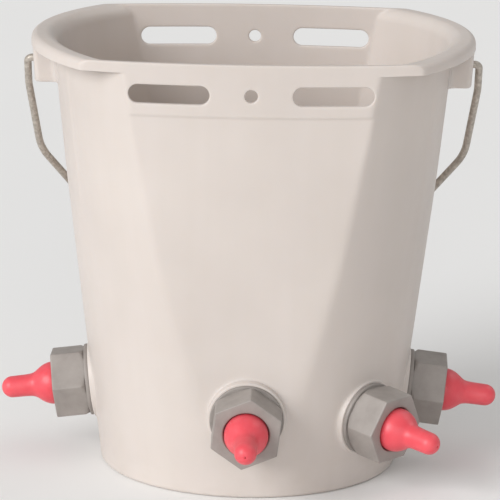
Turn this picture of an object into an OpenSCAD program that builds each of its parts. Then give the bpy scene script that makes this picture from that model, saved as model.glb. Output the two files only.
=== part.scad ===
// Teat feeding bucket for calves and lambs: a moulded bucket with four teat
// nozzles round its foot, hung by its slotted flats or carried by a wire bail.
// Frame: millimetres, origin at the centre of the underside, +Z up, the front
// flat faces -Y and the bail pivots on an axis along X.

/* [Bucket] */
// Height from the underside to the top of the rim
bucket_h = 294; // [290:1:298]
// Outer radius at the underside
base_r = 100; // [99:0.5:101]
// Outward growth of the wall per millimetre of height, lower part
slope_low = 0.1225; // [0.120:0.0005:0.125]
// Outward growth of the wall per millimetre of height, upper part
slope_high = 0.103; // [0.100:0.001:0.106]
// Height where the wall changes slope
break_z = 195; // [185:5:205]
// Wall thickness
wall = 3; // [2.6:0.2:3.4]
// Floor thickness
floor_t = 4; // [3.5:0.5:5]
// Rounding under the foot edge
foot_fillet = 3; // [2:0.5:4]

/* [Flats] */
// Half depth of the bucket across the flats at the underside
flat_d = 102.7; // [102:0.1:103.4]
// Draft of the two flats in degrees
flat_draft = 1.5; // [1.3:0.1:1.7]
// Bulge radius of the two flats
flat_r = 550; // [500:10:600]
// Height where the thicker slotted band starts
band_z = 257.5; // [256:0.5:259]
// Amount by which the slotted band stands proud
band_proud = 0.9; // [0.6:0.1:1.2]
// Height of the centre line of the slots and the middle hole
slot_z = 271.7; // [271.2:0.1:272.5]
// Overall length of one slot
slot_len = 52.2; // [48:0.2:54]
// Height of one slot
slot_w = 12.3; // [10:0.1:13]
// Distance from the middle of the flat to the middle of a slot
slot_x = 52.9; // [51:0.1:54]
// Diameter of the middle hole
hang_d = 8.3; // [6:0.1:10]

/* [Rim and ears] */
// Outer radius of the rim lip
lip_r = 148; // [147.5:0.1:148.1]
// Depth of the rim lip
lip_h = 8; // [7:0.5:9]
// Width of an ear along the front to back direction
ear_w = 34; // [30:1:38]
// Outer face of an ear from the middle of the bucket
ear_x = 147.5; // [147.3:0.1:147.7]
// Height of the lower edge of an ear
ear_z = 261; // [258:1:262]
// Thickness of the ear plates
ear_t = 3.5; // [3:0.1:3.8]

/* [Bail] */
// Wire diameter of the bail
wire_d = 5; // [4:0.1:5]
// Diameter of the pivot hole in an ear
pivot_hole_d = 5.16; // [5.14:0.01:5.2]
// Height of the pivot axis
pivot_z = 274.3; // [274:0.1:275.5]
// Distance from the pivot axis to the grip
bail_l = 222.5; // [222:0.5:226]
// Half width of the grip between its two bends
grip_w = 53; // [50:1:55]
// Lean of the hanging bail behind the bucket in degrees from plumb
bail_lean = 29.2; // [29.1:0.1:29.8]

/* [Nozzles] */
// Width of the union nut across flats
nut_af = 43.5; // [42:0.5:44]
// Length of the union nut
nut_l = 22.7; // [22:0.1:23]
// Radius of the collar washer
washer_r = 24.3; // [23.5:0.1:25]
// Thickness of the collar washer
washer_t = 2.7; // [2:0.1:3]
// Outer radius of the threaded spigot
spigot_r = 16.6; // [16.4:0.1:16.7]
// Reach of a teat beyond its nut
teat_reach = 36.3; // [34:0.1:40]
// Radius of the teat dome where it leaves the nut
teat_r = 14.4; // [13.8:0.1:14.5]
// Radius of the check ball
ball_r = 6; // [5.5:0.1:6]
// Travel of the check ball
ball_travel = 3; // [2:0.1:3]

/* [Hidden] */

// Nozzle stations: azimuth from the front towards +X, height, turn of the nut
LEFT = [-90, 52, 50];
FRONT = [0, 56.5, 23.4];
RIGHT_FRONT = [48, 49, 0];
RIGHT = [90, 52, 23];
STATIONS = [LEFT, FRONT, RIGHT_FRONT, RIGHT];

alpha = atan(slope_low);                 // wall angle, also the nozzle tilt
low_h = wall * sqrt(1 + slope_low * slope_low);
high_h = wall * sqrt(1 + slope_high * slope_high);
break_r = base_r + slope_low * break_z;
top_r = break_r + slope_high * (bucket_h - break_z);

// Distances along a nozzle axis, measured from the outside of the wall
boss_out = 0.8;
boss_in = -5.5;
boss_r = 25.5;
seat_face = boss_in + 0.05;
seat_face_r = 24.2;
seal_t = 2;
flange_t = 4;
u_seal = boss_in - seal_t;
u_flange = u_seal - flange_t;
u_nut = boss_out + washer_t;
u_face = u_nut + nut_l;
u_lip = u_face - 6;
flange_teat = 3;
u_spigot = u_lip - flange_teat;
u_seat = -6;
seat_r = ball_r * 0.75;
bore_r = 10;
// Ball at rest against the cage, then travel towards the seat
u_ball_shut = u_seat + sqrt(ball_r * ball_r - seat_r * seat_r) + 0.1;
u_ball = u_ball_shut + ball_travel;
u_cage = u_ball + ball_r + 0.1;

// ---- bucket ----

function wall_r(z) = z < break_z ? base_r + slope_low * z
                                 : break_r + slope_high * (z - break_z);

// Solid of revolution of the outer wall with a rounded foot edge
module outer_cone() {
    n = sqrt(1 + slope_low * slope_low);
    xc = base_r + slope_low * foot_fillet - foot_fillet * n;
    rotate_extrude($fn = 240) union() {
        polygon([[0, 0], [xc, 0], [xc + foot_fillet / n, foot_fillet - foot_fillet * slope_low / n],
                 [break_r, break_z], [top_r, bucket_h], [0, bucket_h]]);
        intersection() {
            translate([xc, foot_fillet]) circle(r = foot_fillet, $fn = 64);
            translate([xc, 0]) square([foot_fillet, foot_fillet]);
        }
    }
}

// Hollow of the bucket, with a rounded floor corner and an eased mouth
module inner_cone() {
    f = 8;
    n = sqrt(1 + slope_low * slope_low);
    xf = base_r - low_h + slope_low * (floor_t + f) - f * n;
    ease = 5;
    xi = wall_r(bucket_h - ease) - high_h;
    rotate_extrude($fn = 240) union() {
        polygon([[0, floor_t], [xf, floor_t], [xf + f / n, floor_t + f - f * slope_low / n],
                 [break_r - low_h, break_z], [xi, bucket_h - ease],
                 [xi + ease * 0.3, bucket_h - ease * 0.3], [xi + ease, bucket_h],
                 [xi + ease, bucket_h + 3], [0, bucket_h + 3]]);
        intersection() {
            translate([xf, floor_t + f]) circle(r = f, $fn = 64);
            translate([xf, floor_t]) square([f, f]);
        }
    }
}

// Slice between the two drafted, slightly bulged flats, grown by g
module between_flats(g) {
    k = tan(flat_draft);
    lo = flat_r + g - 20 * k;
    hi = flat_r + g + 320 * k;
    intersection_for (s = [-1, 1])
        translate([0, s * (flat_r - flat_d), -20]) cylinder(r1 = lo, r2 = hi, h = 340, $fn = 720);
}

// Lip rolled outward round the two ends of the mouth
module lip_ring() {
    r0 = top_r - 1.5;
    rotate_extrude($fn = 240) union() {
        translate([r0, bucket_h - lip_h]) square([lip_r - lip_h - r0, lip_h]);
        intersection() {
            translate([lip_r - lip_h, bucket_h - lip_h]) circle(r = lip_h, $fn = 96);
            translate([lip_r - lip_h, bucket_h - lip_h]) square([lip_h, lip_h]);
        }
    }
}

// Groove on the underside of the lip, open downward
module lip_groove() {
    rotate_extrude($fn = 240)
        translate([top_r + 0.5, bucket_h - lip_h - 1])
            square([lip_r - 3 - top_r - 0.5 - 1.2, lip_h - 3 + 1]);
}

module ear_block(s) {
    translate([s > 0 ? 126 : -ear_x, -ear_w / 2, ear_z])
        cube([ear_x - 126, ear_w, bucket_h - 3 - ear_z]);
}

module ear_hollow(s) {
    h = bucket_h - 3 - ear_z;
    x0 = top_r + 0.3;
    translate([s > 0 ? x0 : -(ear_x - ear_t), -ear_w / 2 + ear_t, ear_z - 1])
        cube([ear_x - ear_t - x0, ear_w - 2 * ear_t, h + 1]);
}

// Moves a shape from nozzle space to its station: z runs out of the wall
module at_station(s) {
    rotate([0, 0, s[0]]) translate([0, -wall_r(s[1]), s[1]])
        rotate([90 + alpha, 0, 0]) children();
}

module slot_tool(x) {
    for (a = [90, -90]) translate([x, 0, slot_z]) rotate([a, 0, 0]) {
        translate([-(slot_len - slot_w) / 2, -slot_w / 2, 80])
            cube([slot_len - slot_w, slot_w, 60]);
        for (k = [-1, 1]) translate([k * (slot_len - slot_w) / 2, 0, 80])
            cylinder(r = slot_w / 2, h = 60, $fn = 64);
    }
}

module bucket() {
    color("antiquewhite") difference() {
        union() {
            // shell with lip, trimmed by the flats
            difference() {
                union() {
                    intersection() {
                        union() {
                            outer_cone();
                            lip_ring();
                        }
                        between_flats(0);
                    }
                    intersection() {
                        union() {
                            outer_cone();
                            lip_ring();
                        }
                        between_flats(band_proud);
                        translate([-200, -200, band_z]) cube([400, 400, 60]);
                    }
                    for (s = [-1, 1]) ear_block(s);
                }
                // groove under the lip, closed at the flats, and hollow of each ear
                intersection() {
                    lip_groove();
                    between_flats(-wall);
                }
                for (s = [-1, 1]) ear_hollow(s);
                intersection() {
                    inner_cone();
                    between_flats(-wall);
                }
            }
            // flat seats where the nozzles pass through the wall
            for (s = STATIONS) at_station(s)
                translate([0, 0, boss_in]) cylinder(r = boss_r, h = boss_out - boss_in, $fn = 96);
        }
        // the flat leans over the front nozzle, so its seal and flange need a spot face
        at_station(FRONT) translate([0, 0, seat_face - 10])
            cylinder(r = seat_face_r, h = 10, $fn = 96);
        for (s = STATIONS) at_station(s)
            translate([0, 0, -20]) cylinder(r = spigot_r + 0.3, h = 40, $fn = 96);
        for (x = [-slot_x, slot_x]) slot_tool(x);
        for (a = [90, -90]) translate([0, 0, slot_z]) rotate([a, 0, 0])
            translate([0, 0, 80]) cylinder(r = hang_d / 2, h = 60, $fn = 64);
        for (s = [-1, 1]) translate([s > 0 ? 140 : -160, 0, pivot_z])
            rotate([0, 90, 0]) cylinder(r = pivot_hole_d / 2, h = 20, $fn = 64);
    }
}

// ---- bail ----

// Unit direction and bend helpers for a wire path lying in a plane
function dir(a, b) = (b - a) / norm(b - a);
function turn(p, i) = let (a = dir(p[i - 1], p[i]), b = dir(p[i], p[i + 1]))
    atan2(a[0] * b[1] - a[1] * b[0], a * b);
function cut(p, r, i) = (i <= 0 || i >= len(p) - 1) ? 0 : r[i] * tan(abs(turn(p, i)) / 2);

module wire_path(p, r, w) {
    over = 0.3;                          // straights run this far into the bends
    n = len(p);
    for (i = [0 : n - 2]) {
        d = dir(p[i], p[i + 1]);
        a = p[i] + d * (i == 0 ? 0 : cut(p, r, i) - over);
        b = p[i + 1] - d * (i == n - 2 ? 0 : cut(p, r, i + 1) - over);
        translate([a[0], a[1], 0]) rotate([0, 0, atan2(d[1], d[0])])
            rotate([0, 90, 0]) cylinder(r = w / 2, h = norm(b - a), $fn = 48);
    }
    for (i = [1 : n - 2]) {
        d = dir(p[i - 1], p[i]);
        t = turn(p, i);
        s = sign(t);
        a = p[i] - d * cut(p, r, i);
        c = a + s * r[i] * [-d[1], d[0]];
        start = atan2(a[1] - c[1], a[0] - c[0]);
        translate([c[0], c[1], 0]) rotate([0, 0, s > 0 ? start : start + t])
            rotate_extrude(angle = abs(t), $fn = 180)
                translate([r[i], 0]) circle(r = w / 2 + 0.04, $fn = 48);
    }
}

leg_x = ear_x + 0.8 + wire_d / 2;
half_path = [[ear_x - 12, 0], [leg_x, 0], [leg_x, 22], [144.6, 80.2], [grip_w, bail_l]];
half_bend = [0, 3.3, 40, 40, 22];
bail_path = concat(half_path, [for (i = [len(half_path) - 1 : -1 : 0])
    [-half_path[i][0], half_path[i][1]]]);
bail_bend = concat(half_bend, [for (i = [len(half_bend) - 1 : -1 : 0]) half_bend[i]]);

module bail() {
    color("dimgray") translate([0, 0, pivot_z]) rotate([bail_lean - 90, 0, 0])
        wire_path(bail_path, bail_bend, wire_d);
}

// ---- nozzle pieces, drawn along z out of the wall ----

// Threaded spigot with an inner flange and the seat of the ball
module valve_body(s) {
    color("darkgray") at_station(s) difference() {
        union() {
            translate([0, 0, u_flange]) cylinder(r = 22, h = flange_t, $fn = 96);
            translate([0, 0, u_flange]) cylinder(r = spigot_r, h = u_spigot - u_flange, $fn = 96);
        }
        translate([0, 0, u_seat]) cylinder(r = bore_r, h = 40, $fn = 64);
        translate([0, 0, u_flange - 1]) cylinder(r = seat_r, h = 20, $fn = 64);
    }
}

// Rubber ring between the inner flange and the wall
module valve_seal(s) {
    color("dimgray") at_station(s) difference() {
        translate([0, 0, u_seal]) cylinder(r = 21.5, h = seal_t, $fn = 96);
        translate([0, 0, u_seal - 1]) cylinder(r = spigot_r, h = 5, $fn = 96);
    }
}

// Cross-barred cage that keeps the ball near its seat
module ball_cage(s) {
    color("lightgray") at_station(s) {
        difference() {
            translate([0, 0, u_cage]) cylinder(r = bore_r, h = 3, $fn = 64);
            translate([0, 0, u_cage - 1]) cylinder(r = bore_r - 2, h = 5, $fn = 64);
        }
        for (a = [0, 90]) intersection() {
            translate([0, 0, u_cage]) cylinder(r = bore_r - 1, h = 3, $fn = 64);
            rotate([0, 0, a]) translate([-10, -1.2, u_cage]) cube([20, 2.4, 3]);
        }
        for (a = [45 : 90 : 315]) intersection() {
            translate([0, 0, u_seat]) cylinder(r = bore_r, h = 20, $fn = 64);
            rotate([0, 0, a]) translate([ball_r + 0.4, -1.1, u_seat + 1])
                cube([6, 2.2, u_cage + 1 - u_seat - 1]);
        }
    }
}

module check_ball(s) {
    color("white") at_station(s) translate([0, 0, u_ball]) sphere(r = ball_r, $fn = 48);
}

module collar_washer(s) {
    color("gray") at_station(s) difference() {
        translate([0, 0, boss_out]) cylinder(r = washer_r, h = washer_t, $fn = 96);
        translate([0, 0, boss_out - 1]) cylinder(r = spigot_r + 0.3, h = 5, $fn = 96);
    }
}

// Six-sided nut that runs on the spigot and traps the foot of the teat
module union_nut(s) {
    hex_r = nut_af / 2 / cos(30);
    color("gray") at_station(s) difference() {
        intersection() {
            translate([0, 0, u_nut]) rotate([0, 0, s[2]]) cylinder(r = hex_r, h = nut_l, $fn = 6);
            rotate_extrude($fn = 96) polygon([[0, u_nut], [hex_r - 2.4, u_nut], [hex_r + 0.3, u_nut + 2.7],
                [hex_r + 0.3, u_face - 0.9], [hex_r - 0.6, u_face], [0, u_face]]);
        }
        translate([0, 0, u_nut - 1]) cylinder(r = spigot_r + 0.3, h = u_lip - u_nut + 1, $fn = 96);
        translate([0, 0, u_nut]) cylinder(r = teat_r + 0.4, h = nut_l + 1, $fn = 96);
    }
}

// Hollow rubber teat: clamped foot, dome and sucking end
module teat(s) {
    u1 = u_face;
    u2 = u_face + teat_reach;
    color("crimson") at_station(s) difference() {
        union() {
            rotate_extrude($fn = 96) polygon([[0, u_spigot], [spigot_r - 0.2, u_spigot],
                [spigot_r - 0.2, u_lip], [teat_r, u_lip], [teat_r, u1], [teat_r - 0.6, u1 + 4],
                [teat_r - 2.2, u1 + 8], [teat_r - 4.2, u1 + 11], [8, u1 + 13.5], [7.5, u1 + 17],
                [7.3, u2 - 7.3], [0, u2 - 7.3]]);
            translate([0, 0, u2 - 7.3]) sphere(r = 7.3, $fn = 64);
        }
        rotate_extrude($fn = 64) polygon([[0, u_spigot - 1], [bore_r, u_spigot - 1], [bore_r, u_lip + 1],
            [teat_r - 3.2, u_lip + 3], [teat_r - 3.4, u1 + 2], [teat_r - 5, u1 + 6.5],
            [teat_r - 7.5, u1 + 10], [4.6, u1 + 13.5], [4.2, u2 - 6], [0, u2 - 4]]);
        translate([0, 0, u2 - 6]) cylinder(r = 0.8, h = 10, $fn = 24);
    }
}

bucket();
bail();
valve_body(LEFT);  // valve_body_left
valve_seal(LEFT);  // valve_seal_left
ball_cage(LEFT);  // ball_cage_left
check_ball(LEFT);  // check_ball_left
collar_washer(LEFT);  // collar_washer_left
union_nut(LEFT);  // union_nut_left
teat(LEFT);  // teat_left
valve_body(FRONT);  // valve_body_front
valve_seal(FRONT);  // valve_seal_front
ball_cage(FRONT);  // ball_cage_front
check_ball(FRONT);  // check_ball_front
collar_washer(FRONT);  // collar_washer_front
union_nut(FRONT);  // union_nut_front
teat(FRONT);  // teat_front
valve_body(RIGHT_FRONT);  // valve_body_right_front
valve_seal(RIGHT_FRONT);  // valve_seal_right_front
ball_cage(RIGHT_FRONT);  // ball_cage_right_front
check_ball(RIGHT_FRONT);  // check_ball_right_front
collar_washer(RIGHT_FRONT);  // collar_washer_right_front
union_nut(RIGHT_FRONT);  // union_nut_right_front
teat(RIGHT_FRONT);  // teat_right_front
valve_body(RIGHT);  // valve_body_right
valve_seal(RIGHT);  // valve_seal_right
ball_cage(RIGHT);  // ball_cage_right
check_ball(RIGHT);  // check_ball_right
collar_washer(RIGHT);  // collar_washer_right
union_nut(RIGHT);  // union_nut_right
teat(RIGHT);  // teat_right
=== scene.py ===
import math

import bmesh
import bpy
import numpy as np
from mathutils import Matrix, Vector
from mathutils.geometry import delaunay_2d_cdt


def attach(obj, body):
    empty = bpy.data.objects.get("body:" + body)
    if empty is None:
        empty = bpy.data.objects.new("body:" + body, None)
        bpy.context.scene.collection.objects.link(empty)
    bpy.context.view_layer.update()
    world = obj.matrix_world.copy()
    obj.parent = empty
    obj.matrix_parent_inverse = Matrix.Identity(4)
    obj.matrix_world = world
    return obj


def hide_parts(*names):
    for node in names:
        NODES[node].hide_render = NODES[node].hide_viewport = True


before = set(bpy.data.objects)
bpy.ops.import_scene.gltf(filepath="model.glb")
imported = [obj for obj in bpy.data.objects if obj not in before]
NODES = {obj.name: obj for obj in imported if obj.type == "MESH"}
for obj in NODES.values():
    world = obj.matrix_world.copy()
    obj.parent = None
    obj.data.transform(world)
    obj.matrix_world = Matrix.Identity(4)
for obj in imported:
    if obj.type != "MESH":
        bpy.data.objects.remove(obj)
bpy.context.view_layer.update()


MM = 0.001
scene = bpy.context.scene

# ------------------------------------------------------------------ camera
CAM_D, CAM_E, CAM_PSI, CAM_RHO, CAM_F = 2.4575, math.radians(13.79), math.radians(0.50), math.radians(0.837), 3633.9
CAM_AT = Vector((-0.0004, 0.0, 0.1442))
back = Vector((math.sin(CAM_PSI) * math.cos(CAM_E), -math.cos(CAM_PSI) * math.cos(CAM_E), math.sin(CAM_E)))
right = Vector((math.cos(CAM_PSI), math.sin(CAM_PSI), 0))
up = right.cross(-back)
r2 = right * math.cos(CAM_RHO) + up * math.sin(CAM_RHO)
u2 = -right * math.sin(CAM_RHO) + up * math.cos(CAM_RHO)
cam_data = bpy.data.cameras.new("camera")
cam = bpy.data.objects.new("camera", cam_data)
scene.collection.objects.link(cam)
m = Matrix((r2, u2, back)).transposed().to_4x4()
m.translation = CAM_AT + back * CAM_D
cam.matrix_world = m
cam_data.sensor_fit = "HORIZONTAL"
cam_data.sensor_width = 36.0
cam_data.lens = CAM_F / 500.0 * 36.0
cam_data.clip_start = 0.05
cam_data.clip_end = 60.0
scene.camera = cam

# ------------------------------------------------------------------ mesh helpers


def new_object(name, verts, faces, smooth_angle=40.0):
    me = bpy.data.meshes.new(name)
    me.from_pydata([tuple(v) for v in verts], [], [tuple(int(i) for i in f) for f in faces])
    bm = bmesh.new()
    bm.from_mesh(me)
    bmesh.ops.remove_doubles(bm, verts=bm.verts, dist=2e-6)
    bmesh.ops.dissolve_degenerate(bm, edges=bm.edges, dist=1e-6)
    bmesh.ops.delete(bm, geom=[v for v in bm.verts if not v.link_faces], context="VERTS")
    bmesh.ops.recalc_face_normals(bm, faces=bm.faces)
    bm.to_mesh(me)
    bm.free()
    me.polygons.foreach_set("use_smooth", [True] * len(me.polygons))
    me.set_sharp_from_angle(angle=math.radians(smooth_angle))
    me.update()
    ob = bpy.data.objects.new(name, me)
    scene.collection.objects.link(ob)
    return ob


def loops_to_faces(loops, closed=True):
    """Quads between successive rings of vertex indices, all of one length."""
    out = []
    for a, b in zip(loops[:-1], loops[1:]):
        n = len(a)
        for i in range(n if closed else n - 1):
            j = (i + 1) % n
            out.append((a[i], a[j], b[j], b[i]))
    return out


class Builder:
    def __init__(self):
        self.v = []
        self.f = []

    def add(self, pts):
        i = len(self.v)
        self.v.extend([tuple(float(c) for c in p) for p in pts])
        return list(range(i, i + len(pts)))


# ------------------------------------------------------------------ bucket surfaces (mm)
H = 294.0
FLAT_C = 550.0 - 102.7
KF = math.tan(math.radians(1.5))
ALPHA = math.atan(0.1225)
STATIONS = {"left": (-90.0, 52.0, 4.0), "front": (0.0, 56.5, 23.4),
            "right_front": (48.0, 49.0, 0.0), "right": (90.0, 52.0, 6.0)}


def sstep(x, a, b):
    t = np.clip((np.asarray(x, float) - a) / (b - a), 0, 1)
    return t * t * (3 - 2 * t)


def cone_r(z):
    z = np.asarray(z, float)
    t = z - 195.0
    return 100 + 0.1225 * z - 0.0195 * 0.5 * (t + np.sqrt(t * t + 100.0))


def flat_rad(th, z, g):
    z = np.asarray(z, float)
    t = z - 195.0
    rho = 550 + KF * (z - 0.30 * (t + np.sqrt(t * t + 100.0))) + g
    return -FLAT_C * np.abs(np.cos(th)) + np.sqrt(rho ** 2 - (FLAT_C * np.sin(th)) ** 2)


def smin(a, b, k):
    h = np.clip(0.5 + 0.5 * (b - a) / k, 0, 1)
    return b * (1 - h) + a * h - k * h * (1 - h)


def outer_r(th, z):
    th = np.asarray(th, float)
    z = np.asarray(z, float)
    g = 0.9 * sstep(z, 256.4, 258.6)
    c = cone_r(z)
    # the two ends stand a little proud of the cone, between soft upright creases
    y = np.abs(c * np.cos(th))
    c = c - 0.75 * sstep(y, 49.8, 53.4) * sstep(z, 145, 225)
    return smin(c, flat_rad(th, z, g), 1.7 - 0.6 * sstep(z, 200, 262))


def inner_r(th, z):
    return smin(cone_r(z) - 3.02, flat_rad(th, z, -3.0), 1.0)


def polar(r, th, z):
    return np.stack([r * np.sin(th), -r * np.cos(th), z + 0 * r], -1)


# columns
base = list(np.arange(-180.0, 180.0, 1.0))
fine = [s * a for a in np.arange(30.5, 50.5, 1.0) for s in (1, -1)]
fine += [180 - a if a > 0 else -180 - a for a in fine]
COLS = np.radians(np.array(sorted(set(np.round(base + fine, 4)))))
NC = len(COLS)
FR = 0.9


def surf_y(x, z, rfun):
    """Depth of a wall surface in front of the axis, at sideways position x and height z."""
    r = rfun(np.arcsin(np.clip(x / 125.0, -1, 1)), z)
    th = np.arcsin(np.clip(x / r, -1, 1))
    for _ in range(60):
        r = rfun(th, z)
        th = 0.5 * th + 0.5 * np.arcsin(np.clip(x / r, -1, 1))
    return rfun(th, z) * np.cos(th), th


def slot_outline(cx, cz, half_len, half_h, d, kind):
    """Rounded outline, grown by d. Slots are two half circles with straights, holes a circle."""
    if kind == "hole":
        a = np.linspace(0, 2 * np.pi, 40, endpoint=False)
        return cx + (half_h + d) * np.cos(a), cz + (half_h + d) * np.sin(a)
    s = half_len - half_h
    a1 = np.linspace(-np.pi / 2, np.pi / 2, 19)
    a2 = np.linspace(np.pi / 2, 3 * np.pi / 2, 19)
    t = np.linspace(1, -1, 13)[1:-1]
    xs = np.concatenate([s + (half_h + d) * np.cos(a1), s * t, -s + (half_h + d) * np.cos(a2), -s * t])
    zs = np.concatenate([(half_h + d) * np.sin(a1), 0 * t + half_h + d, (half_h + d) * np.sin(a2), 0 * t - half_h - d])
    return cx + xs, cz + zs


def wall_side_rings(cx, cz, half_len, half_h, kind, side):
    """Rings of 3D points from the outer face to the inner face, with rounded edges."""
    rings = []
    th_out = th_in = None
    outz = inz = None
    ts = np.radians([0, 22, 45, 68, 90])
    for t in ts:
        d = FR * (1 - math.sin(t))
        x, z = slot_outline(cx, cz, half_len, half_h, d, kind)
        y, th = surf_y(x, z, outer_r)
        if t == 0:
            th_out, outz = th, z
        rings.append(np.stack([x, -(y - FR * (1 - math.cos(t))), z], -1))
    mid = None
    for t in ts[::-1]:
        d = FR * (1 - math.sin(t))
        x, z = slot_outline(cx, cz, half_len, half_h, d, kind)
        y, th = surf_y(x, z, inner_r)
        if t == 0:
            th_in, inz = th, z
        rings.append(np.stack([x, -(y + FR * (1 - math.cos(t))), z], -1))
    if side < 0:                       # back wall: turn round the upright axis, mirrored in X
        for r in rings:
            r[:, 1] *= -1
        th_out, th_in = np.pi - th_out, np.pi - th_in
    return rings, (th_out, outz), (th_in, inz)


def station_frame(name):
    az, zc, _ = STATIONS[name]
    a = math.radians(az)
    ca, sa = math.cos(ALPHA), math.sin(ALPHA)
    U = np.array([ca * math.sin(a), -ca * math.cos(a), -sa])
    X = np.array([math.cos(a), math.sin(a), 0.0])
    Y = np.cross(U, X)
    R = 100 + 0.1225 * zc
    O = np.array([R * math.sin(a), -R * math.cos(a), zc])
    return O, X, Y, U


def ring_on_wall(name, rho, phi, rfun):
    """Height along the nozzle axis where a ring of radius rho meets a wall surface."""
    O, X, Y, U = station_frame(name)
    lo = np.full(phi.shape, -16.0)
    hi = np.full(phi.shape, 8.0)
    base_pt = O + rho * (np.cos(phi)[:, None] * X + np.sin(phi)[:, None] * Y)
    for _ in range(48):
        mid = 0.5 * (lo + hi)
        p = base_pt + mid[:, None] * U
        rr = np.hypot(p[:, 0], p[:, 1])
        th = np.arctan2(p[:, 0], -p[:, 1])
        out = rr > rfun(th, p[:, 2])
        hi = np.where(out, mid, hi)
        lo = np.where(out, lo, mid)
    return 0.5 * (lo + hi)


def nozzle_rings(name):
    O, X, Y, U = station_frame(name)
    phi = np.linspace(0, 2 * np.pi, 72, endpoint=False)

    def pt(rho, u):
        return O + rho * (np.cos(phi)[:, None] * X + np.sin(phi)[:, None] * Y) + (u + 0 * phi)[:, None] * U

    def w(rho):
        return ring_on_wall(name, rho, phi, outer_r)

    def wi(rho):
        return ring_on_wall(name, rho, phi, inner_r)
    h = np.minimum(0.8 - w(25.5), 1.6)
    spec = [(28.2, w(28.2)), (27.0, w(27.0) + 0.06 * h), (26.2, w(26.2) + 0.20 * h), (25.75, w(25.75) + 0.42 * h),
            (25.55, 0.8 - 0.35 * h), (25.45, 0.8 - 0.2 * h), (25.3, 0.8 - 0.08 * h), (25.05, 0.8 + 0 * h),
            (17.5, 0.8 + 0 * h), (16.9, 0.5 + 0 * h), (16.9, -5.2 + 0 * h), (17.4, -5.5 + 0 * h)]
    wi25 = wi(25.0)
    spec += [(23.4, -5.5 + 0 * h), (24.6, np.minimum(-5.5, -5.5) + 0.15 + 0 * h + 0.25 * (wi25 + 5.5)),
             (25.4, 0.35 * -5.5 + 0.65 * wi(25.4)), (26.2, wi(26.2) - 0.05), (27.4, wi(27.4))]
    rings = [pt(r, u) for r, u in spec]

    def tz(ring):
        return np.arctan2(ring[:, 0], -ring[:, 1]), ring[:, 2]
    return rings, tz(rings[0]), tz(rings[-1])


def wrap(a, centre):
    return centre + (a - centre + np.pi) % (2 * np.pi) - np.pi


def inside_poly(px, py, qx, qy):
    """Which points p lie in polygon q."""
    c = np.zeros(px.shape, bool)
    n = len(qx)
    for i in range(n):
        j = (i - 1) % n
        hit = ((qy[i] > py) != (qy[j] > py)) & (px < (qx[j] - qx[i]) * (py - qy[i]) / (qy[j] - qy[i] + 1e-30) + qx[i])
        c ^= hit
    return c


def build_wall(B, rfun, rows, patches):
    """Grid of columns and rows with rectangular patches re-triangulated round their holes."""
    rows = np.array(rows, float)
    nr = len(rows)
    grid = np.zeros((nr, NC), int)
    for j, z in enumerate(rows):
        grid[j] = B.add(polar(rfun(COLS, z), COLS, z))
    skip = np.zeros((nr - 1, NC), bool)
    for (t0, t1, z0, z1, holes) in patches:
        centre = 0.5 * (t0 + t1)
        cw = wrap(COLS, centre)
        ci = [i for i in np.argsort(cw) if t0 - 1e-6 <= cw[i] <= t1 + 1e-6]
        ri = [j for j in range(nr) if z0 - 1e-6 <= rows[j] <= z1 + 1e-6]
        for j in ri[:-1]:
            for i in ci[:-1]:
                skip[j, i] = True
        S = 115.0
        pts, ids, edges = [], [], []
        key = {}

        def push(x, y, vid):
            pts.append((x, y))
            ids.append(vid)
            return len(pts) - 1
        # boundary loop of the patch
        loop = [(ri[0], i) for i in ci[:-1]] + [(j, ci[-1]) for j in ri[:-1]] + \
               [(ri[-1], i) for i in ci[:0:-1]] + [(j, ci[0]) for j in ri[:0:-1]]
        bi = [push(S * cw[i], rows[j], grid[j][i]) for j, i in loop]
        edges += [(bi[k], bi[(k + 1) % len(bi)]) for k in range(len(bi))]
        polys = []
        for (hid, hth, hz) in holes:
            hx = S * wrap(hth, centre)
            polys.append((hx, hz))
            k0 = [push(hx[k], hz[k], hid[k]) for k in range(len(hid))]
            edges += [(k0[k], k0[(k + 1) % len(k0)]) for k in range(len(k0))]
            # relief ring a little way out
            cx, cz = hx.mean(), hz.mean()
            nx = np.roll(hz, -1) - np.roll(hz, 1)
            nz = -(np.roll(hx, -1) - np.roll(hx, 1))
            ln = np.hypot(nx, nz)
            nx, nz = nx / ln, nz / ln
            if ((hx - cx) * nx + (hz - cz) * nz).mean() < 0:
                nx, nz = -nx, -nz
            gap = 1.3
            rx, rz = hx + gap * nx, hz + gap * nz
            th = rx / S
            vid = B.add(polar(rfun(th, rz), th, rz))
            for k in range(len(vid)):
                push(rx[k], rz[k], vid[k])
            polys[-1] = (hx, hz, hx + (gap + 1.0) * nx, hz + (gap + 1.0) * nz)
        inner = [(j, i) for j in ri[1:-1] for i in ci[1:-1]]
        gx = np.array([S * cw[i] for j, i in inner])
        gz = np.array([rows[j] for j, i in inner])
        keep = np.ones(len(inner), bool)
        for p in polys:
            keep &= ~inside_poly(gx, gz, p[2], p[3])
        for k in np.nonzero(keep)[0]:
            j, i = inner[k]
            push(gx[k], gz[k], grid[j][i])
        res = delaunay_2d_cdt([Vector(p) for p in pts], edges, [], 0, 1e-7)
        rv, rf, orig = res[0], res[2], res[3]
        cen = np.array([[sum(rv[a][0] for a in f) / len(f), sum(rv[a][1] for a in f) / len(f)] for f in rf])
        bad = np.zeros(len(rf), bool)
        for p in polys:
            bad |= inside_poly(cen[:, 0], cen[:, 1], p[0], p[1])
        for f, b in zip(rf, bad):
            if not b:
                B.f.append(tuple(ids[orig[a][0]] for a in f))
    for j in range(nr - 1):
        for i in range(NC):
            if not skip[j, i]:
                k = (i + 1) % NC
                B.f.append((grid[j][i], grid[j][k], grid[j + 1][k], grid[j + 1][i]))
    return grid


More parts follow.
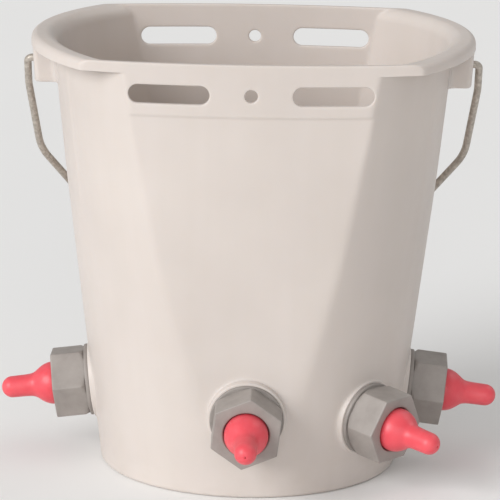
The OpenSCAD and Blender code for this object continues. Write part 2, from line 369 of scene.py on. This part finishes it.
def build_bucket():
    B = Builder()
    out_patches, in_patches = {}, {}
    for side in (1, -1):
        c = 0.0 if side > 0 else math.pi
        ho, hi = [], []
        for (cx, hl, hh, kind) in ((-52.9, 26.1, 6.15, "slot"), (0.0, 0, 4.15, "hole"), (52.9, 26.1, 6.15, "slot")):
            rings, (to, zo), (ti, zi) = wall_side_rings(cx, 271.7, hl, hh, kind, side)
            ids = [B.add(r) for r in rings]
            B.f += loops_to_faces(ids)
            ho.append((ids[0], to, zo))
            hi.append((ids[-1], ti, zi))
        out_patches[("s", side)] = (c - math.radians(44), c + math.radians(44), 261.0, 284.0, ho)
        in_patches[("s", side)] = (c - math.radians(44), c + math.radians(44), 261.0, 284.0, hi)
    for name, (az, zc, _) in STATIONS.items():
        rings, (to, zo), (ti, zi) = nozzle_rings(name)
        ids = [B.add(r) for r in rings]
        B.f += loops_to_faces(ids)
        a = math.radians(az)
        w = math.radians(19)
        out_patches[name] = (a - w, a + w, zc - 33, zc + 33, [(ids[0], to, zo)])
        in_patches[name] = (a - w, a + w, zc - 33, zc + 33, [(ids[-1], ti, zi)])
    rows = sorted(set([2.66, 5, 8, 12] + list(np.arange(16.0, 252.0, 4.0)) +
                      [253, 255.4, 256.2, 256.8, 257.5, 258.2, 258.8, 259.6, 261, 264, 267, 270, 273, 276, 279, 281.5, 284]))
    og = build_wall(B, outer_r, rows, list(out_patches.values()))
    rows_in = sorted(set([12.0] + list(np.arange(16.0, 260.0, 4.0)) + [261, 264, 267, 270, 273, 276, 279, 281.5, 284]))
    ig = build_wall(B, inner_r, rows_in, list(in_patches.values()))

    # rim, from the outer wall over the lip to the inner wall
    th = COLS
    W = outer_r(th, 286.0) + 0 * th
    PF = flat_rad(th, 286.0, 0.9)
    Lout = np.maximum(smin(np.full(NC, 148.0), PF, 1.0), W)
    av = np.clip((Lout - W) / 10.0, 0, 1)
    ra = W + 0.5 * av
    rb = np.maximum(np.minimum(144.6, PF - 3.4), ra)
    g = np.clip((rb - ra) / 4.0, 0, 1)
    steps = [(outer_r(th, 285.3), 285.3 + 0 * th), (ra, 286.0 + 0 * th),
             (ra + 0.15 * g, 286.0 + 4.4 * g), (ra + 0.7 * g, 286.0 + 5.0 * g),
             (rb - 0.7 * g, 286.0 + 5.0 * g), (rb - 0.15 * g, 286.0 + 4.4 * g), (rb, 286.0 + 0 * th),
             (np.maximum(Lout - 0.5 * av, rb), 286.0 + 0 * th), (Lout, 286.0 + 0.35 * av)]

    def e(z):
        return 0.9 - np.sqrt(np.maximum(0.81 - np.maximum(z - (H - 0.9), 0) ** 2, 0))
    for t in (0, 12, 24, 36, 48, 59, 68, 75, 80, 85, 90):
        z = 289.5 + 4.5 * math.sin(math.radians(t))
        rho = 143.5 + 4.5 * math.cos(math.radians(t))
        steps.append((smin(np.full(NC, rho), flat_rad(th, z, 0.9) - e(z), 1.1), z + 0 * th))
    xi = float(cone_r(285.0)) - 3.02
    steps.append((smin(np.full(NC, xi + 9.0), flat_rad(th, H, -3.0) + 0.9, 0.8), H + 0 * th))
    for t in (95, 98, 101, 106, 112, 120, 130, 141, 152, 164, 176):
        z = 285 + 9 * math.sin(math.radians(t))
        rho = xi + 9 + 9 * math.cos(math.radians(t))
        steps.append((smin(np.full(NC, rho), flat_rad(th, z, -3.0) + e(z), 0.8), z + 0 * th))
    steps.append((inner_r(th, 284.8), 284.8 + 0 * th))
    loops = [list(og[-1])] + [B.add(polar(r, th, z)) for r, z in steps] + [list(ig[-1])]
    B.f += loops_to_faces(loops)

    # foot: rounded edge and underside
    n = math.sqrt(1 + 0.1225 ** 2)
    xc = 100 + 0.1225 * 3 - 3 * n
    loops = [list(og[0])]
    for t in (-20, -35, -50, -65, -80, -90):
        loops.append(B.add(polar(xc + 3 * math.cos(math.radians(t)) + 0 * th, th, 3 + 3 * math.sin(math.radians(t)))))
    for r in (92.0, 70.0, 45.0, 20.0, 6.0):
        loops.append(B.add(polar(r + 0 * th, th, 0.0 * th)))
    B.f += loops_to_faces(loops)
    c = B.add([(0, 0, 0)])[0]
    B.f += [(loops[-1][i], loops[-1][(i + 1) % NC], c) for i in range(NC)]

    # inside floor with its rounded corner
    f = 8.0
    xf = 100 - 3.02 + 0.1225 * 12 - f * n
    loops = [list(ig[0])]
    r12 = inner_r(th, 12.0)
    for t in (-8, -20, -32, -45, -58, -70, -80, -90):
        rr = xf + f * math.cos(math.radians(t))
        loops.append(B.add(polar(np.minimum(rr + 0 * th, r12), th, 12 + f * math.sin(math.radians(t)))))
    for r in (84.0, 64.0, 40.0, 20.0, 8.0):
        loops.append(B.add(polar(r + 0 * th, th, 4.0 + 0.0 * th)))
    B.f += loops_to_faces(loops)
    c = B.add([(0, 0, 4.0)])[0]
    B.f += [(loops[-1][i], loops[-1][(i + 1) % NC], c) for i in range(NC)]

    # the mouth dips a little over the flats, most at the front
    V = np.array(B.v)
    az = np.abs(np.degrees(np.arctan2(V[:, 0], -V[:, 1])))
    dip = 2.0 * (1 - sstep(az, 38, 80)) + 0.15 * sstep(az, 105, 140)
    V[:, 2] -= dip * sstep(V[:, 2], 279.5, 291.0)
    ob = new_object("bucket_shell", V * MM, B.f, 42.0)
    return ob


PIVOT_Z = 274.3


def build_ear(s):
    """Hollow ear as a U of plate, closed at both ends inside the wall; s is +1 or -1."""
    hw, t = 17.0, 3.5

    def contour(zz, inset, inner):
        """Half plan outline from the wall to the middle of the outer face, as (x, y)."""
        wall = float(cone_r(zz)) - 1.4
        rx = 145.7 + 1.8 * (zz - 261.0) / 27.0
        pts = []
        if not inner:
            h = hw - inset
            fl = 5.0
            # flare into the wall
            yw = h + fl
            xw = math.sqrt(max(wall ** 2 - yw ** 2, 1))
            pts.append((xw, yw))
            xs = math.sqrt(wall ** 2 - h ** 2) + 1.4
            for a in np.linspace(0, 1, 7):
                ang = a * math.pi / 2
                pts.append((xs + 0.2 + fl * (1 - math.cos(ang)) * 0.9, h + fl * (1 - math.sin(ang)) * 0.86))
            rc = 3.0
            xo = math.sqrt((rx - inset) ** 2 - h ** 2)
            pts.append((0.5 * (pts[-1][0] + xo - rc), h))
            for a in np.linspace(0, 1, 7):
                ang = a * math.pi / 2
                pts.append((xo - rc + rc * math.sin(ang), h - rc + rc * math.cos(ang)))
            for y in (11.5, 9.0, 6.0, 3.0, 0.0):
                pts.append((math.sqrt((rx - inset) ** 2 - y ** 2), y))
        else:
            h = hw - t + inset
            xw = math.sqrt(max(wall ** 2 - h ** 2, 1))
            pts.append((xw, h))
            xs = xw + 1.6
            for a in np.linspace(0, 1, 7):
                pts.append((xs + a * 2.5, h))
            xo = math.sqrt((rx - t + inset) ** 2 - h ** 2)
            rc = 1.2
            pts.append((0.5 * (pts[-1][0] + xo - rc), h))
            for a in np.linspace(0, 1, 7):
                ang = a * math.pi / 2
                pts.append((xo - rc + rc * math.sin(ang), h - rc + rc * math.cos(ang)))
            for y in (11.5, 9.0, 6.0, 3.0, 0.0):
                y = min(y, h - rc - 0.2 if y > 10 else y)
                pts.append((math.sqrt((rx - t + inset) ** 2 - y ** 2), y))
        full = pts + [(x, -y) for x, y in pts[-2::-1]]
        return [(s * x, y, zz) for x, y in full]

    B = Builder()
    outer_rows, inner_rows = [], []
    for zz, inset in ((261.0, 1.0), (261.12, 0.62), (261.4, 0.28), (262.0, 0.0), (265.0, 0.0), (270.0, 0.0), (276.0, 0.0), (282.0, 0.0), (288.0, 0.0)):
        outer_rows.append(B.add(contour(zz, inset, False)))
        inner_rows.append(B.add(contour(zz, inset, True)))
    B.f += loops_to_faces(outer_rows, closed=False)
    B.f += loops_to_faces(inner_rows, closed=False)
    B.f += loops_to_faces([outer_rows[0], inner_rows[0]], closed=False)
    B.f += loops_to_faces([outer_rows[-1], inner_rows[-1]], closed=False)
    for k in (0, -1):
        col_o = [r[k] for r in outer_rows]
        col_i = [r[k] for r in inner_rows]
        B.f += loops_to_faces([col_o, col_i], closed=False)
    ob = new_object("ear_%d" % s, np.array(B.v) * MM, B.f, 42.0)
    # pivot hole
    bm = bmesh.new()
    bmesh.ops.create_cone(bm, cap_ends=True, segments=48, radius1=2.58 * MM, radius2=2.58 * MM, depth=14 * MM)
    bmesh.ops.rotate(bm, verts=bm.verts, matrix=Matrix.Rotation(math.pi / 2, 3, "Y"))
    bmesh.ops.translate(bm, verts=bm.verts, vec=(s * 146 * MM, 0, PIVOT_Z * MM))
    me = bpy.data.meshes.new("tool")
    bm.to_mesh(me)
    bm.free()
    tool = bpy.data.objects.new("tool", me)
    scene.collection.objects.link(tool)
    mod = ob.modifiers.new("hole", "BOOLEAN")
    mod.operation = "DIFFERENCE"
    mod.object = tool
    mod.solver = "EXACT"
    dg = bpy.context.evaluated_depsgraph_get()
    res = bpy.data.meshes.new_from_object(ob.evaluated_get(dg))
    ob.modifiers.clear()
    ob.data = res
    bpy.data.objects.remove(tool)
    return ob


def join(name, obs):
    bm = bmesh.new()
    for o in obs:
        bm.from_mesh(o.data)
    me = bpy.data.meshes.new(name)
    bm.to_mesh(me)
    bm.free()
    for o in obs:
        bpy.data.objects.remove(o)
    me.polygons.foreach_set("use_smooth", [True] * len(me.polygons))
    me.set_sharp_from_angle(angle=math.radians(42))
    ob = bpy.data.objects.new(name, me)
    scene.collection.objects.link(ob)
    return ob


# ------------------------------------------------------------------ nozzle pieces (mm, along u)
U_NUT = 0.8 + 2.7
U_FACE = U_NUT + 22.7
U_LIP = U_FACE - 6.0
U_SPIGOT = U_LIP - 3.0


def to_station(name, pts):
    O, X, Y, U = station_frame(name)
    pts = np.asarray(pts, float)
    return (O + pts[:, :1] * X + pts[:, 1:2] * Y + pts[:, 2:3] * U) * MM


def lathe(name, station, profile, segments=72, closed=True, angle=40.0, wobble=None):
    """Turns a closed (radius, u) profile about the nozzle axis."""
    prof = np.array(profile, float)
    phi = np.linspace(0, 2 * np.pi, segments, endpoint=False)
    V, F = [], []
    n = len(prof)
    for k, (r, u) in enumerate(prof):
        rr = np.full(segments, r)
        uu = np.full(segments, u)
        if wobble is not None:
            rr, uu = wobble(rr, uu, phi)
        V.append(np.stack([rr * np.cos(phi), rr * np.sin(phi), uu], -1))
    V = np.concatenate(V)
    for k in range(n if closed else n - 1):
        a, b = k, (k + 1) % n
        for i in range(segments):
            j = (i + 1) % segments
            F.append((a * segments + i, a * segments + j, b * segments + j, b * segments + i))
    return new_object(name, to_station(station, V), F, angle)


def spline(points, per=6):
    """Smooth open curve through (r, u) points, as a uniform Catmull-Rom spline."""
    P = np.array(points, float)
    out = []
    for i in range(len(P) - 1):
        p0 = P[max(i - 1, 0)]
        p1, p2 = P[i], P[i + 1]
        p3 = P[min(i + 2, len(P) - 1)]
        for t in np.linspace(0, 1, per, endpoint=False):
            a = 2 * p1
            b = p2 - p0
            c = 2 * p0 - 5 * p1 + 4 * p2 - p3
            d = -p0 + 3 * p1 - 3 * p2 + p3
            out.append(0.5 * (a + b * t + c * t * t + d * t ** 3))
    out.append(P[-1])
    return [tuple(p) for p in out]


def build_teat(name):
    f = U_FACE
    end = f + 36.3
    foot = [(10.0, U_SPIGOT), (15.8, U_SPIGOT), (16.2, U_SPIGOT + 0.4), (16.2, U_LIP - 0.4), (15.8, U_LIP)]
    body = spline([(14.5, U_LIP + 0.05), (14.35, U_LIP + 3), (14.4, f), (14.42, f + 1.5), (14.1, f + 3.6), (13.3, f + 6.0), (12.1, f + 8.3),
                   (10.55, f + 10.5), (9.1, f + 12.4), (8.15, f + 14.2), (7.7, f + 16.4), (7.48, f + 19.5), (7.4, f + 23.0),
                   (7.35, f + 26.5), (7.3, f + 29.0)], 3)
    tip = [(7.3 * math.cos(a), f + 29.0 + 7.3 * math.sin(a)) for a in np.radians([8, 17, 26, 35, 44, 53, 61, 68, 74, 79])]
    hole = [(0.8, end - 0.08), (0.5, end - 0.28), (0.42, end - 1.2), (0.42, end - 4.2)]
    cav = [(4.0, end - 6.5), (4.3, end - 14), (4.6, f + 13.5), (6.9, f + 10.0), (9.3, f + 6.5), (10.9, f + 2.0), (11.1, U_LIP + 3), (10.2, U_LIP + 0.8)]
    return lathe("teat_rubber_" + name, name, foot + body + tip + hole + cav, 72, True, 50.0)


def build_nut(name):
    rot = math.radians(STATIONS[name][2])
    af = 43.5 / 2
    rc = 1.3                                    # rounding of the six upright corners
    cx = af / math.cos(math.pi / 6) - rc / math.cos(math.pi / 6)
    phis, rad = [], []
    for k in range(6):
        a = k * math.pi / 3
        # arc round the corner
        for b in np.linspace(-math.pi / 6, math.pi / 6, 5):
            x, y = cx + rc * math.cos(b), rc * math.sin(b)
            phis.append(a + math.atan2(y, x))
            rad.append(math.hypot(x, y))
        # flat to the next corner
        for q in np.linspace(-1, 1, 9)[1:-1]:
            y = q * (af * math.tan(math.pi / 6) - rc * math.tan(math.pi / 6)) * 0.98
            ang = a + math.pi / 6 + math.atan2(y, af)
            phis.append(ang)
            rad.append(af / math.cos(math.atan2(y, af)))
    order = np.argsort(phis)
    phis, rad = np.array(phis)[order], np.array(rad)[order]
    n = len(phis)
    ca, sa = np.cos(phis + rot), np.sin(phis + rot)
    B = Builder()

    def ring(r, u):
        r = np.minimum(rad, r) if np.isscalar(r) else r
        return B.add(np.stack([r * ca, r * sa, u + 0 * r], -1))

    def inset(d, u):
        return ring(rad * (1 - d / af), u)
    hr = af / math.cos(math.pi / 6)
    # outline from the inner end over the flats to the mouth, then the bore
    L = []
    for q in (0.0, 0.25, 0.5, 0.75, 1.0):           # inner chamfer, cut as a cone
        L.append(ring(hr - 2.6 + 2.6 * q, U_NUT + 2.9 * q))
    L.append(ring(99.0, U_NUT + 3.6))
    for u in (U_NUT + 8, U_NUT + 13, U_NUT + 18, U_FACE - 1.3):
        L.append(ring(99.0, u))
    L.append(inset(0.03, U_FACE - 0.75))
    L.append(inset(0.12, U_FACE - 0.45))
    L.append(inset(0.30, U_FACE - 0.20))
    L.append(inset(0.55, U_FACE - 0.06))
    L.append(inset(0.9, U_FACE))

    def circ(r, u):
        return B.add(np.stack([r * ca, r * sa, u + 0 * ca], -1))
    L.append(circ(18.6, U_FACE))
    for r, u in ((16.2, U_FACE - 0.02), (15.75, U_FACE - 0.12), (15.3, U_FACE - 0.42), (15.02, U_FACE - 0.95), (14.9, U_FACE - 1.6),
                 (14.8, U_LIP + 0.6), (14.9, U_LIP + 0.25), (15.1, U_LIP), (16.7, U_LIP), (16.9, U_LIP - 0.2), (16.9, U_NUT + 1.0), (17.6, U_NUT)):
        L.append(circ(r, u))
    B.f += loops_to_faces(L)
    B.f += loops_to_faces([L[-1], L[0]])
    ob = new_object("hex_nut_" + name, to_station(name, np.array(B.v)), B.f, 55.0)
    mod = ob.modifiers.new("flats", "WEIGHTED_NORMAL")
    mod.mode = "FACE_AREA"
    mod.weight = 80
    mod.keep_sharp = True
    return ob


def build_washer(name):
    a, b = 0.8, 0.8 + 2.7
    prof = [(16.9, a + 0.2), (17.1, a), (23.6, a), (24.0, a + 0.12), (24.24, a + 0.42), (24.3, a + 0.8), (24.3, b - 0.8), (24.2, b - 0.4),
            (23.95, b - 0.12), (23.5, b), (17.1, b), (16.9, b - 0.2)]
    return lathe("collar_ring_" + name, name, prof, 96, True, 50.0)


# ------------------------------------------------------------------ bail
def build_bail():
    w = 2.5
    half = [(147.5 - 12, 0.0), (147.5 + 0.8 + w, 0.0), (147.5 + 0.8 + w, 22.0), (144.6, 80.2), (53.0, 222.5)]
    bend = [0, 3.3, 40, 40, 22]
    P = [np.array(p, float) for p in half] + [np.array((-x, y), float) for x, y in half[::-1]]
    R = bend + bend[::-1]
    pts = [P[0]]
    for i in range(1, len(P) - 1):
        a = (P[i] - P[i - 1]) / np.linalg.norm(P[i] - P[i - 1])
        b = (P[i + 1] - P[i]) / np.linalg.norm(P[i + 1] - P[i])
        t = math.atan2(a[0] * b[1] - a[1] * b[0], a @ b)
        cut = R[i] * math.tan(abs(t) / 2)
        p = P[i] - a * cut
        c = p + np.sign(t) * R[i] * np.array([-a[1], a[0]])
        m = max(4, int(abs(t) / math.radians(5)))
        for q in np.linspace(0, 1, m + 1):
            ang = q * t
            d = p - c
            pts.append(c + np.array([d[0] * math.cos(ang) - d[1] * math.sin(ang), d[0] * math.sin(ang) + d[1] * math.cos(ang)]))
    pts.append(P[-1])
    # even out long straights
    dense = [pts[0]]
    for p, q in zip(pts[:-1], pts[1:]):
        k = max(1, int(np.linalg.norm(q - p) / 12))
        dense += [p + (q - p) * (j / k) for j in range(1, k + 1)]
    C = np.array(dense)
    n = len(C)
    T = np.gradient(C, axis=0)
    T /= np.linalg.norm(T, axis=1)[:, None]
    lean = math.radians(29.2)
    ex = np.array([1.0, 0, 0])
    el = np.array([0, math.sin(lean), -math.cos(lean)])
    en = np.cross(ex, el)
    S = 20
    ph = np.linspace(0, 2 * np.pi, S, endpoint=False)
    B = Builder()
    rings = []
    o = np.array([0, 0, PIVOT_Z])

    def ring(k, r, shift=0.0):
        t2 = T[k]
        nrm = np.array([-t2[1], t2[0]])
        c = C[k] + t2 * shift
        cc = o + c[0] * ex + c[1] * el
        nn = nrm[0] * ex + nrm[1] * el
        return B.add([cc + r * (math.cos(a) * nn + math.sin(a) * en) for a in ph])
    rings.append(ring(0, 1.9, 0.0))
    rings.append(ring(0, w, 0.6))
    for k in range(1, n - 1):
        rings.append(ring(k, w))
    rings.append(ring(n - 1, w, -0.6))
    rings.append(ring(n - 1, 1.9, 0.0))
    B.f += loops_to_faces(rings)
    B.f.append(tuple(rings[0]))
    B.f.append(tuple(rings[-1]))
    return new_object("bail_wire", np.array(B.v) * MM, B.f, 50.0)


# ------------------------------------------------------------------ materials
def srgb(r, g, b):
    def c(v):
        v /= 255.0
        return v / 12.92 if v <= 0.04045 else ((v + 0.055) / 1.055) ** 2.4
    return (c(r), c(g), c(b), 1.0)


class Mat:
    def __init__(self, name):
        self.m = bpy.data.materials.new(name)
        self.m.use_nodes = True
        self.t = self.m.node_tree
        self.n = self.t.nodes
        self.l = self.t.links
        self.b = next(x for x in self.n if x.type == "BSDF_PRINCIPLED")
        self.co = self.n.new("ShaderNodeTexCoord")

    def noise(self, scale, detail=3.0, rough=0.55, stretch=(1, 1, 1)):
        mp = self.n.new("ShaderNodeMapping")
        mp.inputs["Scale"].default_value = stretch
        self.l.new(self.co.outputs["Object"], mp.inputs["Vector"])
        nz = self.n.new("ShaderNodeTexNoise")
        nz.inputs["Scale"].default_value = scale
        nz.inputs["Detail"].default_value = detail
        nz.inputs["Roughness"].default_value = rough
        self.l.new(mp.outputs["Vector"], nz.inputs["Vector"])
        return nz.outputs["Fac"]

    def ramp(self, fac, stops):
        r = self.n.new("ShaderNodeValToRGB")
        el = r.color_ramp.elements
        el[0].position, el[0].color = stops[0][0], stops[0][1]
        el[1].position, el[1].color = stops[-1][0], stops[-1][1]
        for p, c in stops[1:-1]:
            x = el.new(p)
            x.color = c
        self.l.new(fac, r.inputs["Fac"])
        return r.outputs["Color"]

    def mix(self, fac, a, b, mode="MIX"):
        x = self.n.new("ShaderNodeMix")
        x.data_type = "RGBA"
        x.blend_type = mode
        ins = {i.identifier: i for i in x.inputs}
        for key, v in (("Factor_Float", fac), ("A_Color", a), ("B_Color", b)):
            if isinstance(v, (int, float, tuple)):
                ins[key].default_value = v
            else:
                self.l.new(v, ins[key])
        return {o.identifier: o for o in x.outputs}["Result_Color"]

    def math(self, op, a, b=0.0, clamp=False):
        x = self.n.new("ShaderNodeMath")
        x.operation = op
        x.use_clamp = clamp
        for i, v in enumerate((a, b)):
            if isinstance(v, (int, float)):
                x.inputs[i].default_value = v
            else:
                self.l.new(v, x.inputs[i])
        return x.outputs[0]

    def rng(self, fac, a, b, lo, hi):
        x = self.n.new("ShaderNodeMapRange")
        x.inputs["From Min"].default_value = a
        x.inputs["From Max"].default_value = b
        x.inputs["To Min"].default_value = lo
        x.inputs["To Max"].default_value = hi
        self.l.new(fac, x.inputs["Value"])
        return x.outputs["Result"]

    def bump(self, height, strength, dist, chain=None):
        x = self.n.new("ShaderNodeBump")
        x.inputs["Strength"].default_value = strength
        x.inputs["Distance"].default_value = dist
        self.l.new(height, x.inputs["Height"])
        if chain is not None:
            self.l.new(chain, x.inputs["Normal"])
        return x.outputs["Normal"]

    def set(self, **kw):
        for k, v in kw.items():
            k = k.replace("_", " ")
            if isinstance(v, (int, float, tuple)):
                self.b.inputs[k].default_value = v
            else:
                self.l.new(v, self.b.inputs[k])


def mat_bucket():
    M = Mat("bucket_plastic")
    cloud = M.noise(9.0, 3.0, 0.5)
    col = M.ramp(cloud, [(0.30, srgb(203, 194, 188)), (0.52, srgb(208, 199, 193)), (0.74, srgb(212, 203, 197))])
    # faint upright flow marks from moulding
    flow = M.noise(60.0, 2.0, 0.5, (1.0, 1.0, 0.05))
    col = M.mix(M.rng(flow, 0.35, 0.75, 0.0, 0.22), col, srgb(198, 189, 179))
    # fine specks in the plastic
    speck = M.noise(900.0, 2.0, 0.6)
    col = M.mix(M.rng(speck, 0.70, 0.80, 0.0, 0.35), col, srgb(178, 167, 156))
    # dust and milk stone low down and on the floor of the bucket
    sep = M.n.new("ShaderNodeSeparateXYZ")
    M.l.new(M.co.outputs["Object"], sep.inputs["Vector"])
    low = M.rng(sep.outputs["Z"], 0.0, 0.05, 1.0, 0.0)
    patchy = M.rng(M.noise(26.0, 4.0, 0.65), 0.45, 0.70, 0.0, 1.0)
    col = M.mix(M.math("MULTIPLY", M.math("MULTIPLY", low, patchy, True), 0.16), col, srgb(172, 160, 146))
    M.set(Base_Color=col)
    rough = M.rng(M.noise(140.0, 3.0, 0.6), 0.3, 0.7, 0.40, 0.50)
    scuff = M.rng(M.noise(55.0, 5.0, 0.7, (1.0, 1.0, 0.35)), 0.60, 0.72, 0.0, 0.10)
    M.set(Roughness=M.math("ADD", rough, scuff))
    n1 = M.bump(M.noise(700.0, 2.0, 0.5), 0.10, 0.0002)
    n2 = M.bump(M.noise(22.0, 2.0, 0.5), 0.12, 0.0006, n1)
    M.set(Normal=n2)
    M.b.inputs["Subsurface Weight"].default_value = 0.22
    M.b.inputs["Subsurface Radius"].default_value = (1.0, 0.82, 0.66)
    M.b.inputs["Subsurface Scale"].default_value = 0.006
    M.b.inputs["IOR"].default_value = 1.5
    M.b.inputs["Specular IOR Level"].default_value = 0.42
    return M.m


def mat_fitting(name, a, b, c, rough=0.42):
    M = Mat(name)
    cloud = M.noise(70.0, 4.0, 0.6)
    col = M.ramp(cloud, [(0.32, a), (0.5, b), (0.70, c)])
    fleck = M.noise(1500.0, 2.0, 0.6)
    col = M.mix(M.rng(fleck, 0.66, 0.78, 0.0, 0.35), col, srgb(178, 172, 163))
    M.set(Base_Color=col)
    M.set(Roughness=M.rng(M.noise(240.0, 4.0, 0.65), 0.3, 0.7, rough - 0.05, rough + 0.09))
    n1 = M.bump(M.noise(1300.0, 2.0, 0.5), 0.16, 0.00015)
    n2 = M.bump(M.noise(130.0, 2.0, 0.5), 0.12, 0.0002, n1)
    M.set(Normal=n2)
    M.b.inputs["IOR"].default_value = 1.5
    return M.m


def mat_teat():
    M = Mat("teat_rubber")
    cloud = M.noise(75.0, 3.0, 0.55)
    col = M.ramp(cloud, [(0.30, srgb(222, 74, 86)), (0.52, srgb(228, 82, 93)), (0.72, srgb(232, 92, 101))])
    bloom = M.rng(M.noise(210.0, 4.0, 0.7), 0.55, 0.75, 0.0, 0.22)
    col = M.mix(bloom, col, srgb(236, 122, 128))
    M.set(Base_Color=col)
    M.set(Roughness=M.rng(M.noise(320.0, 3.0, 0.6), 0.3, 0.7, 0.34, 0.46))
    n1 = M.bump(M.noise(1800.0, 2.0, 0.5), 0.12, 0.0001)
    n2 = M.bump(M.noise(160.0, 2.0, 0.5), 0.14, 0.0002, n1)
    M.set(Normal=n2)
    M.b.inputs["Subsurface Weight"].default_value = 0.35
    M.b.inputs["Subsurface Radius"].default_value = (1.0, 0.25, 0.2)
    M.b.inputs["Subsurface Scale"].default_value = 0.004
    M.b.inputs["IOR"].default_value = 1.52
    return M.m


def mat_wire():
    M = Mat("galvanised_wire")
    spangle = M.noise(420.0, 3.0, 0.6)
    col = M.ramp(spangle, [(0.30, srgb(160, 152, 142)), (0.5, srgb(186, 178, 168)), (0.68, srgb(204, 196, 186))])
    grime = M.rng(M.noise(55.0, 4.0, 0.65), 0.50, 0.68, 0.0, 0.7)
    col = M.mix(grime, col, srgb(134, 121, 109))
    M.set(Base_Color=col)
    M.set(Metallic=M.rng(M.noise(55.0, 4.0, 0.65), 0.45, 0.75, 0.60, 0.30))
    M.set(Roughness=M.rng(M.noise(600.0, 3.0, 0.6), 0.3, 0.7, 0.36, 0.55))
    M.set(Normal=M.bump(M.noise(900.0, 3.0, 0.6), 0.25, 0.0001))
    return M.m


def mat_simple(name, a, b, rough, scale=300.0, bump=0.15, coat=0.0):
    M = Mat(name)
    col = M.ramp(M.noise(scale, 4.0, 0.6), [(0.32, a), (0.68, b)])
    M.set(Base_Color=col)
    M.set(Roughness=M.rng(M.noise(scale * 2.2, 3.0, 0.6), 0.3, 0.7, rough - 0.05, rough + 0.07))
    M.set(Normal=M.bump(M.noise(scale * 4, 2.0, 0.5), bump, 0.0001))
    M.b.inputs["Coat Weight"].default_value = coat
    return M.m


MAT = {
    "bucket": mat_bucket(),
    "nut": mat_fitting("fitting_plastic", srgb(143, 136, 131), srgb(151, 144, 139), srgb(157, 150, 145)),
    "washer": mat_fitting("collar_plastic", srgb(138, 131, 126), srgb(146, 139, 134), srgb(152, 145, 140), 0.46),
    "valve": mat_fitting("valve_plastic", srgb(154, 148, 143), srgb(162, 156, 151), srgb(168, 162, 157)),
    "teat": mat_teat(),
    "wire": mat_wire(),
    "seal": mat_simple("seal_rubber", srgb(30, 30, 31), srgb(46, 45, 45), 0.6),
    "ball": mat_simple("ball_plastic", srgb(226, 225, 220), srgb(236, 235, 231), 0.22, 200.0, 0.05, 0.2),
    "cage": mat_simple("cage_plastic", srgb(206, 203, 196), srgb(217, 214, 208), 0.42),
}


def finish_piece(ob, mat, body, nodes):
    ob.data.materials.clear()
    ob.data.materials.append(MAT[mat])
    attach(ob, body)
    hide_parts(*nodes)


# ------------------------------------------------------------------ pieces
bucket = join("bucket_moulding", [build_bucket(), build_ear(1), build_ear(-1)])
finish_piece(bucket, "bucket", "bucket_body", ["bucket"])
bail = build_bail()
finish_piece(bail, "wire", "bail_body", ["bail"])
for name in STATIONS:
    finish_piece(build_teat(name), "teat", "teat_%s_body" % name, ["teat_" + name])
    finish_piece(build_nut(name), "nut", "nut_%s_body" % name, ["union_nut_" + name])
    finish_piece(build_washer(name), "washer", "bucket_body", ["collar_washer_" + name])
    for node, mat in (("valve_body_", "valve"), ("valve_seal_", "seal"), ("ball_cage_", "cage"), ("check_ball_", "ball")):
        o = NODES[node + name]
        o.data.materials.clear()
        o.data.materials.append(MAT[mat])

# ------------------------------------------------------------------ floor and light
me = bpy.data.meshes.new("floor")
me.from_pydata([(-14, -14, 0), (14, -14, 0), (14, 14, 0), (-14, 14, 0)], [], [(0, 1, 2, 3)])
floor = bpy.data.objects.new("floor", me)
scene.collection.objects.link(floor)
F = Mat("floor_pale")
F.set(Base_Color=F.ramp(F.noise(2.0, 2.0, 0.5), [(0.3, (0.90, 0.90, 0.895, 1)), (0.7, (0.915, 0.915, 0.91, 1))]))
F.b.inputs["Roughness"].default_value = 0.9
F.b.inputs["Specular IOR Level"].default_value = 0.1
floor.data.materials.append(F.m)

world = bpy.data.worlds.new("studio")
scene.world = world
world.use_nodes = True
bg = next(n for n in world.node_tree.nodes if n.type == "BACKGROUND")
bg.inputs["Color"].default_value = (1.0, 0.99, 0.98, 1)
bg.inputs["Strength"].default_value = 0.46


def sun(name, az, el, strength, angle, color=(1, 1, 1)):
    d = bpy.data.lights.new(name, "SUN")
    d.energy = strength * math.pi
    d.angle = math.radians(angle)
    d.color = color
    o = bpy.data.objects.new(name, d)
    scene.collection.objects.link(o)
    a, e = math.radians(az), math.radians(el)
    v = Vector((math.cos(e) * math.sin(a), -math.cos(e) * math.cos(a), math.sin(e)))
    o.location = v * 3
    o.rotation_euler = (-v).to_track_quat("-Z", "Y").to_euler()
    return o


sun("key", -48, 24, 0.71, 34)
sun("front", 0, 14, 0.15, 30)
sun("rim", 122, 48, 0.09, 30)
scene.view_settings.view_transform = "Standard"
scene.view_settings.look = "None"
